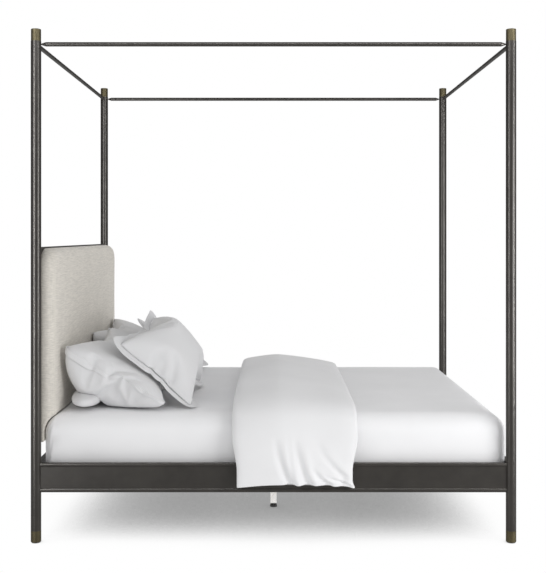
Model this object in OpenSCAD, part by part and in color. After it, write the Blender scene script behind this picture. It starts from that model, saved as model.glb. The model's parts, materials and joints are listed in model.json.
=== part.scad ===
// Four poster canopy bed with an upholstered headboard, made up with a fitted sheet, a folded
// duvet and six pillows. Millimetres, +Z up. The bed's length runs along X with the headboard at
// -X, its width along Y with the sleeper's right at -Y, and the origin is on the floor at the
// centre of the four posts.

/* [Mattress] */
// Length of the mattress
mattress_l = 2032; // [1980:1:2134]
// Width of the mattress
mattress_w = 1524; // [1490:1:1930]
// Thickness of the mattress
mattress_h = 254; // [230:1:280]
// Height of the mattress's underside above the floor
mattress_z = 293; // [290:1:296]

/* [Posts] */
// Overall height of the bed
bed_h = 2235; // [1900:1:2400]
// Diameter of the round posts
post_d = 44.5; // [44:0.5:50]
// Wall thickness of the post tube
post_wall = 2; // [1.5:0.5:3]
// Height of the joint between the two lengths of a head post
head_joint_z = 1083; // [950:1:1180]
// Height of the joint between the two lengths of a foot post
foot_joint_z = 348; // [348:1:420]
// Height of the brass ferrules and caps
trim_h = 52; // [45:1:70]
// Diameter of the brass caps
cap_d = 43; // [42.5:0.5:44]

/* [Rails and canopy] */
// Height of the rails' lower edge above the floor
rail_z = 217; // [214:1:220]
// Depth of the rails from edge to edge
rail_h = 130; // [126:1:160]
// Diameter of the round beads along the rails' edges
bead_d = 20; // [18:0.5:20]
// Diameter of the canopy rods
rod_d = 19; // [16:0.5:22]
// Depth of the canopy rods' axes below the caps
rod_drop = 13.5; // [13:0.5:30]

/* [Headboard] */
// Height of the headboard's upper edge
headboard_top_z = 1285; // [1200:1:1400]
// Height of the headboard's lower edge
headboard_z = 427; // [400:1:440]
// Thickness of the upholstered pad
pad_t = 61; // [56:1:70]
// Radius of the pad's upper corners
pad_corner_r = 88; // [60:1:120]

/* [Bedding] */
// Width of the folded duvet along the bed
duvet_l = 540; // [400:1:700]
// Thickness of the folded duvet
duvet_t = 62; // [40:1:70]
// Height of the duvet's hem above the floor
duvet_hem_z = 256; // [225:1:330]
// Length of a pillow sham from its lower to its upper edge
sham_l = 480; // [440:1:490]
// Width of a pillow sham across the bed
sham_w = 660; // [600:1:680]

/* [Hidden] */

// Colours
BRONZE = "#4b4844";
BRASS = "#7d7148";
STEEL = "#8b8d90";
LINEN = "#c8c4bc";
WHITE = "#e6e6e8";
BIRCH = "#cfae7c";
NYLON = "#2b2b2d";
LEG_GREY = "#c9cacb";

// Directions: the head end and the sleeper's right are negative
HEAD = -1;
FOOT = 1;
RIGHT = -1;
LEFT = 1;

// A rail's number is the quarter turns that bring the right side rail to its place
RAIL_RIGHT = 0;
RAIL_FOOT = 1;
RAIL_LEFT = 2;
RAIL_HEAD = 3;

// Post grid and heights
end_gap = 19.3;                                  // from the mattress's size to the post axes
side_gap = 43;
post_x = mattress_l / 2 + end_gap;
post_y = mattress_w / 2 + side_gap;
post_r = post_d / 2;
post_bore_r = post_r - post_wall;
cap_z = bed_h - trim_h;
rod_z = cap_z - rod_drop;
glide_h = 4;
edge_ease = 0.6;                                 // small chamfer at each tube end
fit_gap = 0.05;                                  // radial clearance of a plug in a tube

// Plugs, joiners and studs
cap_plug_h = 8;
ferrule_plug_h = 25;
joiner_h = 120;
glide_r = 18;
glide_pin_r = 4;
glide_pin_h = 12;
tip_l = 21;
tip_end_r = 3;
tip_plug_h = 22;
rod_wall = 1.5;
stud_r = 2.5;
stud_in = 8;                                     // how far a stud reaches past the post's surface

// Rails
bead_r = bead_d / 2;
web_t = 12;
web_wall = 1.5;
web_half = web_t / 2;
bead_low_z = rail_z + bead_r;
bead_high_z = rail_z + rail_h - bead_r;
web_seat = sqrt(bead_r * bead_r - web_half * web_half);  // from a bead's axis to the web's edges
web_low_z = bead_low_z + web_seat;
web_high_z = bead_high_z - web_seat;
web_hollow_low_z = bead_low_z + bead_r + web_wall;
web_hollow_high_z = bead_high_z - bead_r - web_wall;

// Brackets and bolts that hold the rails and the headboard to the posts
bracket_t = 4;
bracket_l = 70;
bracket_low_z = rail_z + 23;
bracket_h = 46;
bolt_r = 4;
bolt_head_r = 7;
bolt_head_h = 4.4;
bolt_l = 11;
bolt_hole_gap = 0.3;
bolt_xs = [35, 57];                              // from the post's axis along the rail
bolt_z = bracket_low_z + bracket_h / 2;

// Slats, ledges, support beams and their levelling legs
slat_n = 13;
slat_w = 70;
slat_t = 18;
slat_pitch = 150;
slat_z = mattress_z - slat_t;
ledge_t = 3;
ledge_w = 35;
ledge_drop = 32;
ledge_half_l = post_x - 85;
slat_half_l = post_y - web_half - 5;
beam_y = round(mattress_w * 2 / 11);
beam_w = 25;
beam_h = 40;
beam_z = slat_z - beam_h;
beam_end_gap = 11;                               // from the post axes' line to the beam's end
cradle_t = 3;
cradle_l = 44;
cradle_seat_t = 4;
leg_side = 30;
leg_wall = 2;
leg_plate_l = 64;
leg_plate_t = 3;
leg_low_z = 20;
insert_flange_h = 3;
insert_plug_h = 25;
insert_plug_w = leg_side - 2 * (leg_wall + fit_gap);
stem_r = 5;
stem_gap = 0.05;
stem_low_z = 4.5;
stem_high_z = 62;
stem_hex_z = 12.5;
stem_hex_h = 4;
stem_hex_d = 15;
leveler_pad_r = 17;
leveler_pad_h = 8;
leveler_boss_r = 9;
leveler_boss_h = 4;
leveler_socket_z = 4;

// Headboard
headboard_rail_t = 16;
headboard_rail_h = 25;
headboard_rail_wall = 1.5;
headboard_rail_zs = [headboard_z, headboard_top_z - headboard_rail_h];
headboard_bracket_inset = 3;                     // from the rail's edges to its brackets'
panel_t = 6;
board_t = 9;
board_inset = 8;
panel_back_x = -post_x + headboard_rail_t / 2 - panel_t;
panel_front_x = panel_back_x + panel_t;
board_front_x = panel_front_x + board_t;
pad_front_x = board_front_x + pad_t;
pad_half_w = post_y - 30;
pad_top_z = headboard_top_z - 6;
pad_edge_r = 45;
pad_shoulder_x = pad_front_x - 0.3 * pad_edge_r; // where the rounding is as deep as it is far in
pad_step = 0.1;
screw_r = 3;
screw_head_r = 6;
screw_head_h = 3;
screw_l = 13;
screw_columns = 4;
screw_pitch = 2 * pad_half_w / screw_columns;
screw_rows = [0.15, 0.85];                       // shares of the panel's height

// Bedding
mattress_shift = 7.5;                            // the mattress lies towards the foot rail
mattress_crown_r = 50;
mattress_base_r = 25;
mattress_corner_r = 75;
sheet_t = 1.5;
sheet_gap = 0.02;                                // between the sheet and the mattress
sheet_hem_rise = 0.5;                            // from the mattress's underside to the sheet's hem
sheet_z = mattress_z + mattress_h + sheet_t;
duvet_x = 90;
duvet_drop_t = 44;
duvet_clear = 1.5;                               // gap between the duvet and what it lies on
duvet_under_z = sheet_z + duvet_clear;
duvet_top_z = duvet_under_z + duvet_t;
duvet_edge_y = mattress_w / 2 + sheet_t + duvet_clear;
duvet_inner_y = post_y + bead_r + duvet_clear;
duvet_outer_y = duvet_inner_y + duvet_drop_t;
duvet_crown_r = mattress_crown_r + 2;
duvet_crown_y = mattress_w / 4;                  // how far out the upper side stays level
duvet_bend_r = 90;
duvet_bend_end = 80;                             // the angle at which the bend meets the upper side
duvet_bend_y = duvet_outer_y - duvet_bend_r - 12;
duvet_bend_z = duvet_top_z - duvet_bend_r - 8;
hem_inner_r = 6;
hem_outer_r = 12;
arc_steps = 8;
back_pillow_x = -885;
back_pillow_ys = [-255, 370];                    // the sleeper's right and left
back_pillow_w = 600;
back_pillow_r = 45;
back_pillow_rise = 51;                           // between the axes of its two rounded edges
back_pillow_clear = 5;
sham_edge_r = 4;
sham_bulge_u = 0.1;                              // the fullest part's reach, as a share of the length
sham_bulge_v = 0.24;                             // and of the width
middle_sham_x = -712;
middle_sham_ys = [-345, 365];
middle_sham_z = 703;
middle_sham_lean = 31;                           // degrees from level
middle_sham_bulge = [68, -34];                   // radius of the fullest part and how far forward it is
front_sham_x = -524;
front_sham_ys = [-310, 385];
front_sham_z = 734;
front_sham_lean = 47;
front_sham_bulge = [62, 20];

// ---- shared shapes ----

// A tube standing on the Z axis with lightly chamfered outer edges
module tube(d, wall, z0, z1)
    rotate_extrude($fn = 96)
        polygon([
            [d / 2 - wall, z0],
            [d / 2 - edge_ease, z0],
            [d / 2, z0 + edge_ease],
            [d / 2, z1 - edge_ease],
            [d / 2 - edge_ease, z1],
            [d / 2 - wall, z1]
        ]);

// A post's place: end is HEAD or FOOT, side is RIGHT or LEFT
module at_post(end, side)
    translate([end * post_x, side * post_y, 0])
        children();

// Each of the four posts in turn
module at_each_post()
    for (end = [HEAD, FOOT], side = [RIGHT, LEFT])
        at_post(end, side)
            children();

// A rail's place, where X runs along the rail, +Y points into the bed and Y is 0 on the post axes
module at_rail(number)
    rotate([0, 0, 90 * number])
        translate([0, -(number % 2 == 0 ? post_y : post_x), 0])
            children();

function rail_span(number) = 2 * (number % 2 == 0 ? post_x : post_y);

// The round hollows that let a rail of this span meet its two posts
module post_copes(span)
    for (end = [-1, 1])
        translate([end * span / 2, 0, 0])
            cylinder(r = post_r + fit_gap, h = bed_h, $fn = 96);

// A bar of a cross-section t by h along X between two posts
module coped_bar(span, y0, t, z0, h)
    difference() {
        translate([-span / 2, y0, z0])
            cube([span, t, h]);
        post_copes(span);
    }

// A bolt whose head is in +Y and whose shank enters along -Y from the origin
module bolt_in(shank_r, shank_l, head_r, head_h)
    rotate([90, 0, 0]) {
        translate([0, 0, -head_h])
            cylinder(r = head_r, h = head_h, $fn = 36);
        cylinder(r = shank_r, h = shank_l, $fn = 36);
    }

// A round hole along Y through the origin
module hole_y(r, length)
    rotate([90, 0, 0])
        cylinder(r = r, h = length, center = true, $fn = 36);

// ---- posts ----

module post_lower(end, side, joint_z)
    color(BRONZE)
        at_post(end, side)
            tube(post_d, post_wall, trim_h, joint_z);

module post_upper(end, side, joint_z)
    color(BRONZE)
        at_post(end, side)
            difference() {
                tube(post_d, post_wall, joint_z, cap_z);
                translate([0, 0, rod_z]) {
                    rotate([0, -90 * end, 0])
                        cylinder(r = stud_r + fit_gap, h = post_d, $fn = 36);
                    rotate([90 * side, 0, 0])
                        cylinder(r = stud_r + fit_gap, h = post_d, $fn = 36);
                }
            }

module post_cap(end, side)
    color(BRASS)
        at_post(end, side)
            rotate_extrude($fn = 96)
                polygon([
                    [0, cap_z - cap_plug_h],
                    [post_bore_r - fit_gap, cap_z - cap_plug_h],
                    [post_bore_r - fit_gap, cap_z],
                    [cap_d / 2, cap_z],
                    [cap_d / 2, bed_h - 2 * edge_ease],
                    [cap_d / 2 - 2 * edge_ease, bed_h],
                    [0, bed_h]
                ]);

module post_ferrule(end, side)
    color(BRASS)
        at_post(end, side)
            rotate_extrude($fn = 96)
                polygon([
                    [glide_pin_r + fit_gap, glide_h],
                    [post_r - edge_ease, glide_h],
                    [post_r, glide_h + edge_ease],
                    [post_r, trim_h],
                    [post_bore_r - fit_gap, trim_h],
                    [post_bore_r - fit_gap, trim_h + ferrule_plug_h],
                    [0, trim_h + ferrule_plug_h],
                    [0, glide_h + glide_pin_h + 1],
                    [glide_pin_r + fit_gap, glide_h + glide_pin_h + 1]
                ]);

module post_glides()
    color(NYLON)
        at_each_post() {
            cylinder(r = glide_r, h = glide_h, $fn = 72);
            cylinder(r = glide_pin_r, h = glide_h + glide_pin_h, $fn = 36);
        }

// Sleeves inside the posts that join their two lengths
module post_joiners()
    color(STEEL)
        for (end = [HEAD, FOOT], side = [RIGHT, LEFT]) {
            joint_z = end == HEAD ? head_joint_z : foot_joint_z;
            at_post(end, side)
                tube(2 * (post_bore_r - fit_gap), post_wall,
                    joint_z - joiner_h / 2, joint_z + joiner_h / 2);
        }

// ---- canopy ----

module canopy_rod(number) {
    tube_l = rail_span(number) - 2 * (post_r + tip_l);
    color(BRONZE)
        at_rail(number)
            translate([-tube_l / 2, 0, rod_z])
                rotate([0, 90, 0])
                    tube(rod_d, rod_wall, 0, tube_l);
}

// One turned tip: a plug inside the rod, a taper down to the post and a stud into its wall
module canopy_rod_tip()
    rotate_extrude($fn = 72)
        polygon([
            [0, -stud_in],
            [stud_r, -stud_in],
            [stud_r, 0.2],
            [tip_end_r, 0.2],
            [rod_d / 2, tip_l],
            [rod_d / 2 - rod_wall - fit_gap, tip_l],
            [rod_d / 2 - rod_wall - fit_gap, tip_l + tip_plug_h],
            [0, tip_l + tip_plug_h]
        ]);

module canopy_rod_tips()
    color(BRONZE)
        for (number = [RAIL_RIGHT : RAIL_HEAD], end = [-1, 1])
            at_rail(number)
                translate([end * (rail_span(number) / 2 - post_r), 0, rod_z])
                    rotate([0, -90 * end, 0])
                        canopy_rod_tip();

// ---- rails ----

// A round bar along X in the place of one of a rail's beads
module bead_bar(length, r, z)
    translate([-length / 2, 0, z])
        rotate([0, 90, 0])
            cylinder(r = r, h = length, $fn = 48);

// The flat web of a rail: a shallow box section, hollowed at its edges where the beads lie, whose
// inner wall takes the bolts
module rail_web(number) {
    span = rail_span(number);
    color(BRONZE)
        at_rail(number)
            difference() {
                coped_bar(span, -web_half, web_t, web_low_z, web_high_z - web_low_z);
                for (bead_z = [bead_low_z, bead_high_z])
                    bead_bar(span, bead_r + fit_gap, bead_z);
                translate([-span / 2, -web_half + web_wall, web_hollow_low_z])
                    cube([span, web_t - 2 * web_wall, web_hollow_high_z - web_hollow_low_z]);
                for (end = [-1, 1], bolt_x = bolt_xs)
                    translate([end * (span / 2 - bolt_x), web_half, bolt_z])
                        hole_y(bolt_r + bolt_hole_gap, 2 * web_wall + 1);
            }
}

// The two round beads along a rail's edges
module rail_beads(number) {
    span = rail_span(number);
    color(BRONZE)
        at_rail(number)
            for (bead_z = [bead_low_z, bead_high_z])
                difference() {
                    bead_bar(span, bead_r, bead_z);
                    bead_bar(span + 2, bead_r - post_wall, bead_z);
                    post_copes(span);
                }
}

// Plates welded to the posts that the rails and the headboard bolt to
module frame_brackets()
    color(STEEL) {
        for (number = [RAIL_RIGHT : RAIL_HEAD])
            at_rail(number)
                post_brackets(rail_span(number), web_half, bracket_low_z, bracket_h, bolt_xs, bolt_z);
        for (z = headboard_rail_zs)
            at_rail(RAIL_HEAD)
                mirror([0, 1, 0])
                    post_brackets(rail_span(RAIL_HEAD), headboard_rail_t / 2,
                        z + headboard_bracket_inset, headboard_rail_h - 2 * headboard_bracket_inset,
                        [bolt_xs[1]], z + headboard_rail_h / 2);
    }

// The pair of plates at the two ends of one rail
module post_brackets(span, y0, z0, h, hole_xs, hole_z)
    for (end = [-1, 1])
        difference() {
            translate([end * (span / 2 - bracket_l / 2) - bracket_l / 2, y0, z0])
                cube([bracket_l, bracket_t, h]);
            post_copes(span);
            for (hole_x = hole_xs)
                translate([end * (span / 2 - hole_x), y0 + bracket_t / 2, hole_z])
                    hole_y(bolt_r + bolt_hole_gap, bracket_t + 2);
        }

module frame_bolts()
    color(STEEL) {
        for (number = [RAIL_RIGHT : RAIL_HEAD], end = [-1, 1], bolt_x = bolt_xs)
            at_rail(number)
                translate([end * (rail_span(number) / 2 - bolt_x), web_half + bracket_t, bolt_z])
                    bolt_in(bolt_r, bolt_l, bolt_head_r, bolt_head_h);
        for (z = headboard_rail_zs, end = [-1, 1])
            at_rail(RAIL_HEAD)
                mirror([0, 1, 0])
                    translate([end * (rail_span(RAIL_HEAD) / 2 - bolt_xs[1]),
                        headboard_rail_t / 2 + bracket_t, z + headboard_rail_h / 2])
                        bolt_in(bolt_r, bolt_l, bolt_head_r, bolt_head_h);
    }

// ---- slats and their supports ----

// Angles along the side rails that the slats' ends lie on
module slat_ledges()
    color(STEEL)
        for (number = [RAIL_RIGHT, RAIL_LEFT])
            at_rail(number)
                translate([-ledge_half_l, web_half, 0]) {
                    translate([0, 0, slat_z - ledge_t])
                        cube([2 * ledge_half_l, ledge_w, ledge_t]);
                    translate([0, 0, slat_z - ledge_drop])
                        cube([2 * ledge_half_l, ledge_t, ledge_drop]);
                }

module slats()
    color(BIRCH)
        for (i = [0 : slat_n - 1])
            translate([(i - (slat_n - 1) / 2) * slat_pitch - slat_w / 2, -slat_half_l, slat_z])
                cube([slat_w, 2 * slat_half_l, slat_t]);

module support_beam(side) {
    half_l = post_x - beam_end_gap;
    color(STEEL)
        translate([-half_l, side * beam_y - beam_w / 2, beam_z])
            difference() {
                cube([2 * half_l, beam_w, beam_h]);
                translate([-1, leg_wall, leg_wall])
                    cube([2 * half_l + 2, beam_w - 2 * leg_wall, beam_h - 2 * leg_wall]);
            }
}

// One cradle on the inner face of the head or foot rail, open at the top for a beam's end
module beam_cradle()
    difference() {
        translate([-beam_w / 2 - cradle_t, web_half, beam_z - cradle_seat_t])
            cube([beam_w + 2 * cradle_t, cradle_l, beam_h + cradle_seat_t - cradle_t]);
        translate([-beam_w / 2, web_half + cradle_t, beam_z])
            cube([beam_w, cradle_l, beam_h]);
        bead_bar(2 * beam_w, bead_r + 2 * fit_gap, bead_low_z);
    }

module beam_brackets()
    color(STEEL)
        for (number = [RAIL_HEAD, RAIL_FOOT], side = [RIGHT, LEFT])
            at_rail(number)
                translate([side * beam_y, 0, 0])
                    beam_cradle();

// Places its children under the middle of a support beam
module at_leg(side)
    translate([0, side * beam_y, 0])
        children();

module support_leg(side)
    color(LEG_GREY)
        at_leg(side)
            difference() {
                union() {
                    translate([-leg_side / 2, -leg_side / 2, leg_low_z])
                        cube([leg_side, leg_side, beam_z - leg_low_z]);
                    translate([-leg_plate_l / 2, -leg_side / 2, beam_z - leg_plate_t])
                        cube([leg_plate_l, leg_side, leg_plate_t]);
                }
                translate([-leg_side / 2 + leg_wall, -leg_side / 2 + leg_wall, leg_low_z - 1])
                    cube([leg_side - 2 * leg_wall, leg_side - 2 * leg_wall,
                        beam_z - leg_low_z - leg_plate_t + 1]);
            }

// Threaded plugs in the legs' lower ends
module leg_inserts()
    color(NYLON)
        for (side = [RIGHT, LEFT])
            at_leg(side)
                difference() {
                    union() {
                        translate([-leg_side / 2, -leg_side / 2, leg_low_z - insert_flange_h])
                            cube([leg_side, leg_side, insert_flange_h]);
                        translate([-insert_plug_w / 2, -insert_plug_w / 2, leg_low_z - insert_flange_h])
                            cube([insert_plug_w, insert_plug_w, insert_plug_h]);
                    }
                    cylinder(r = stem_r + stem_gap, h = leg_low_z + insert_plug_h, $fn = 48);
                }

// The screw stem of a levelling foot, with a hexagon for a spanner
module leveler_stem(side)
    color(STEEL)
        at_leg(side) {
            translate([0, 0, stem_low_z])
                cylinder(r = stem_r, h = stem_high_z - stem_low_z, $fn = 48);
            translate([0, 0, stem_hex_z])
                cylinder(d = stem_hex_d, h = stem_hex_h, $fn = 6);
        }

// The pad that a stem turns in
module leveler_pad(side)
    color(NYLON)
        at_leg(side)
            difference() {
                union() {
                    cylinder(r = leveler_pad_r, h = leveler_pad_h, $fn = 72);
                    cylinder(r = leveler_boss_r, h = leveler_pad_h + leveler_boss_h, $fn = 48);
                }
                translate([0, 0, leveler_socket_z])
                    cylinder(r = stem_r + stem_gap, h = leveler_pad_h + leveler_boss_h, $fn = 48);
            }

// ---- headboard ----

// A rail of the headboard's frame between the head posts
module headboard_rail(z)
    color(BRONZE)
        at_rail(RAIL_HEAD)
            difference() {
                coped_bar(rail_span(RAIL_HEAD), -headboard_rail_t / 2, headboard_rail_t,
                    z, headboard_rail_h);
                translate([-post_y, -headboard_rail_t / 2 + headboard_rail_wall, z + headboard_rail_wall])
                    cube([2 * post_y, headboard_rail_t - 2 * headboard_rail_wall,
                        headboard_rail_h - 2 * headboard_rail_wall]);
                for (end = [-1, 1])
                    translate([end * (post_y - bolt_xs[1]), -headboard_rail_t / 2,
                        z + headboard_rail_h / 2])
                        hole_y(bolt_r + bolt_hole_gap, 2 * headboard_rail_wall + 1);
            }

// The screws' places on the back panel, each with +X pointing to the front
module at_each_screw()
    for (column = [0 : screw_columns - 1], row = screw_rows)
        translate([panel_back_x, (column - (screw_columns - 1) / 2) * screw_pitch,
            headboard_z + row * (headboard_top_z - headboard_z)])
            children();

module headboard_back_panel()
    color(BRONZE)
        difference() {
            at_rail(RAIL_HEAD)
                coped_bar(rail_span(RAIL_HEAD), headboard_rail_t / 2 - panel_t, panel_t,
                    headboard_z + headboard_rail_h,
                    headboard_top_z - headboard_z - 2 * headboard_rail_h);
            at_each_screw()
                rotate([0, 90, 0])
                    cylinder(r = screw_r + bolt_hole_gap, h = 2 * panel_t, center = true, $fn = 36);
        }

// A slab in the pad's outline, rounded at its upper corners, from x0 to x1 and set in all round
module pad_slab(x0, x1, inset) {
    corner_r = pad_corner_r - inset;
    half_w = pad_half_w - inset;
    translate([x0, 0, 0])
        rotate([90, 0, 90])
            linear_extrude(height = x1 - x0) {
                translate([-half_w, headboard_z + inset])
                    square([2 * half_w, pad_top_z - inset - corner_r - headboard_z - inset]);
                translate([-half_w + corner_r, headboard_z + inset])
                    square([2 * (half_w - corner_r), pad_top_z - headboard_z - 2 * inset]);
                for (side = [RIGHT, LEFT])
                    translate([side * (half_w - corner_r), pad_top_z - inset - corner_r])
                        circle(r = corner_r, $fn = 96);
            }
}

module headboard_board()
    color(BIRCH)
        difference() {
            pad_slab(panel_front_x, board_front_x, board_inset);
            at_each_screw()
                rotate([0, 90, 0])
                    cylinder(r = screw_r + fit_gap, h = screw_l + 1, $fn = 36);
        }

module headboard_screws()
    color(STEEL)
        at_each_screw()
            rotate([0, 90, 0]) {
                translate([0, 0, -screw_head_h])
                    cylinder(r = screw_head_r, h = screw_head_h, $fn = 36);
                cylinder(r = screw_r, h = screw_l, $fn = 36);
            }

// The upholstered pad, rounded to the front and hollowed where the mattress is tucked under it
module headboard_pad()
    color(LINEN)
        difference() {
            hull() {
                pad_slab(board_front_x, pad_front_x - pad_edge_r, 0);
                pad_slab(pad_shoulder_x, pad_shoulder_x + pad_step, pad_front_x - pad_shoulder_x);
                pad_slab(pad_front_x - pad_step, pad_front_x, pad_edge_r);
            }
            mattress_solid(2 * sheet_t);
        }

// ---- mattress and bedding ----

// The mattress's rounded form, grown all round
module mattress_solid(grow) {
    corner_x = mattress_l / 2 + grow - mattress_corner_r;
    corner_y = mattress_w / 2 + grow - mattress_corner_r;
    top_r = mattress_crown_r + grow;
    base_r = mattress_base_r + grow;
    translate([mattress_shift, 0, mattress_z])
        hull()
            for (sx = [-1, 1], sy = [-1, 1]) {
                translate([sx * corner_x, sy * corner_y, mattress_h + grow - top_r])
                    rotate_extrude($fn = 32)
                        translate([mattress_corner_r - top_r, 0])
                            crown_quarter(top_r);
                translate([sx * corner_x, sy * corner_y, -grow])
                    cylinder(r1 = mattress_corner_r - base_r / 3, r2 = mattress_corner_r,
                        h = base_r, $fn = 32);
            }
}

// A quarter disc with its square corner at the origin
module crown_quarter(r)
    intersection() {
        circle(r = r, $fn = 32);
        square([r, r]);
    }

module mattress()
    color(WHITE)
        mattress_solid(0);

// The fitted sheet's skin over the mattress's top and sides
module fitted_sheet()
    color(WHITE)
        difference() {
            mattress_solid(sheet_t);
            mattress_solid(sheet_gap);
            translate([-mattress_l, -mattress_w, 0])
                cube([2 * mattress_l, 2 * mattress_w, mattress_z + sheet_hem_rise]);
        }

// Points along an arc in evenly turned steps
function arc(cx, cz, r, a0, a1) = [
    for (i = [0 : arc_steps]) let (a = a0 + (a1 - a0) * i / arc_steps) [cx + r * cos(a), cz + r * sin(a)]
];

// The left half, from the underside at the edge of the mattress round to the upper side
function duvet_half() = concat(
    arc(duvet_edge_y - duvet_crown_r, duvet_under_z - duvet_crown_r, duvet_crown_r, 90, 0),
    [
        [duvet_inner_y, rail_z + rail_h + duvet_clear],
        [duvet_inner_y, duvet_hem_z + hem_inner_r],
        [duvet_inner_y + hem_inner_r, duvet_hem_z],
        [duvet_outer_y - hem_outer_r, duvet_hem_z],
        [duvet_outer_y, duvet_hem_z + hem_outer_r],
        [duvet_outer_y, rail_z + rail_h]
    ],
    arc(duvet_bend_y, duvet_bend_z, duvet_bend_r, 0, duvet_bend_end),
    [[duvet_crown_y, duvet_top_z]]
);

// The right half, its mirror image taken the other way round
function duvet_other_half() =
    let (half = duvet_half())
    [for (i = [len(half) - 1 : -1 : 0]) [-half[i][0], half[i][1]]];

module duvet()
    color(WHITE)
        translate([duvet_x - duvet_l / 2, 0, 0])
            rotate([90, 0, 90])
                linear_extrude(height = duvet_l)
                    polygon(concat(duvet_half(), duvet_other_half()));

// A sham leaning back: its centre, its lean, and its fullest part's radius and place to the front
module sham(centre, lean, bulge)
    color(WHITE)
        translate(centre)
            rotate([0, lean, 0])
                hull()
                    for (u = [-1, 1], v = [-1, 1]) {
                        translate([u * (sham_l / 2 - sham_edge_r), v * (sham_w / 2 - sham_edge_r), 0])
                            sphere(r = sham_edge_r, $fn = 16);
                        translate([u * sham_l * sham_bulge_u, v * sham_w * sham_bulge_v, bulge[1]])
                            sphere(r = bulge[0], $fn = 24);
                    }

// A plain pillow standing on its long edge against the headboard
module back_pillow(y)
    color(WHITE)
        translate([back_pillow_x, y, sheet_z + back_pillow_r + back_pillow_clear])
            rotate([90, 0, 0])
                linear_extrude(height = back_pillow_w, center = true) {
                    circle(r = back_pillow_r, $fn = 48);
                    translate([-back_pillow_r, 0])
                        square([2 * back_pillow_r, back_pillow_rise]);
                    translate([0, back_pillow_rise])
                        circle(r = back_pillow_r, $fn = 48);
                }

module middle_sham(y)
    sham([middle_sham_x, y, middle_sham_z], middle_sham_lean, middle_sham_bulge);

module front_sham(y)
    sham([front_sham_x, y, front_sham_z], front_sham_lean, front_sham_bulge);

// ---- nodes ----

post_lower(HEAD, RIGHT, head_joint_z);  // head_post_lower_right
post_lower(HEAD, LEFT, head_joint_z);  // head_post_lower_left
post_lower(FOOT, RIGHT, foot_joint_z);  // foot_post_lower_right
post_lower(FOOT, LEFT, foot_joint_z);  // foot_post_lower_left
post_upper(HEAD, RIGHT, head_joint_z);  // head_post_upper_right
post_upper(HEAD, LEFT, head_joint_z);  // head_post_upper_left
post_upper(FOOT, RIGHT, foot_joint_z);  // foot_post_upper_right
post_upper(FOOT, LEFT, foot_joint_z);  // foot_post_upper_left
post_cap(HEAD, RIGHT);  // head_cap_right
post_cap(HEAD, LEFT);  // head_cap_left
post_cap(FOOT, RIGHT);  // foot_cap_right
post_cap(FOOT, LEFT);  // foot_cap_left
post_ferrule(HEAD, RIGHT);  // head_ferrule_right
post_ferrule(HEAD, LEFT);  // head_ferrule_left
post_ferrule(FOOT, RIGHT);  // foot_ferrule_right
post_ferrule(FOOT, LEFT);  // foot_ferrule_left
post_glides();
post_joiners();
canopy_rod(RAIL_RIGHT);  // canopy_rod_right
canopy_rod(RAIL_FOOT);  // canopy_rod_foot
canopy_rod(RAIL_LEFT);  // canopy_rod_left
canopy_rod(RAIL_HEAD);  // canopy_rod_head
canopy_rod_tips();
rail_web(RAIL_RIGHT);  // side_rail_right
rail_web(RAIL_FOOT);  // foot_rail
rail_web(RAIL_LEFT);  // side_rail_left
rail_web(RAIL_HEAD);  // head_rail
rail_beads(RAIL_RIGHT);  // side_rail_right_beads
rail_beads(RAIL_FOOT);  // foot_rail_beads
rail_beads(RAIL_LEFT);  // side_rail_left_beads
rail_beads(RAIL_HEAD);  // head_rail_beads
frame_brackets();
frame_bolts();
slat_ledges();
slats();
support_beam(RIGHT);  // support_beam_right
support_beam(LEFT);  // support_beam_left
beam_brackets();
support_leg(RIGHT);  // support_leg_right
support_leg(LEFT);  // support_leg_left
leg_inserts();
leveler_stem(RIGHT);  // leveler_stem_right
leveler_stem(LEFT);  // leveler_stem_left
leveler_pad(RIGHT);  // leveler_pad_right
leveler_pad(LEFT);  // leveler_pad_left
headboard_rail(headboard_rail_zs[1]);  // headboard_top_rail
headboard_rail(headboard_rail_zs[0]);  // headboard_bottom_rail
headboard_back_panel();
headboard_board();
headboard_pad();
headboard_screws();
mattress();
fitted_sheet();
duvet();
back_pillow(back_pillow_ys[0]);  // right_back_pillow
middle_sham(middle_sham_ys[0]);  // right_middle_sham
front_sham(front_sham_ys[0]);  // right_front_sham
back_pillow(back_pillow_ys[1]);  // left_back_pillow
middle_sham(middle_sham_ys[1]);  // left_middle_sham
front_sham(front_sham_ys[1]);  // left_front_sham
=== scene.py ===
"""Four poster canopy bed: looks, soft goods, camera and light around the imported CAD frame.

Everything is in metres in the CAD model's own frame: +X to the foot of the bed, +Y to the
sleeper's left, +Z up, the origin on the floor at the centre of the posts.
"""

import json
import math

import bpy
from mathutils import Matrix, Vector, noise


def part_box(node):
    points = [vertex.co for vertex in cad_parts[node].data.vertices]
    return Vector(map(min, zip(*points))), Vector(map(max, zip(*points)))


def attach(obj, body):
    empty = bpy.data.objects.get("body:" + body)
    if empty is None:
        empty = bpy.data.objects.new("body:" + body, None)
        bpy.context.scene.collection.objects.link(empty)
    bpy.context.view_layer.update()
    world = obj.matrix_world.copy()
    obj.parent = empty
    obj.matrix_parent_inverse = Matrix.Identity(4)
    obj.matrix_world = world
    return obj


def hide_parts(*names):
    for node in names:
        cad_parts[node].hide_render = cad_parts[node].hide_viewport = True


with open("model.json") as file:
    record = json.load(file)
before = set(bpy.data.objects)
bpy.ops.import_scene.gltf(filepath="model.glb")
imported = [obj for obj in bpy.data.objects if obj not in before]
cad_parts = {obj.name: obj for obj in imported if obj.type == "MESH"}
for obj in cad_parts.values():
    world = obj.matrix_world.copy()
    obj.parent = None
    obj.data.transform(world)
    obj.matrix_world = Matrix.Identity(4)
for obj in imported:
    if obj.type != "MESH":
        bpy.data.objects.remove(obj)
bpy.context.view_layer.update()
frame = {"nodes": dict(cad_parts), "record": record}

SLOTS = {row["slot"]: row for row in frame["record"]["materials"]}


# ---------------------------------------------------------------- small helpers

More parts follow.
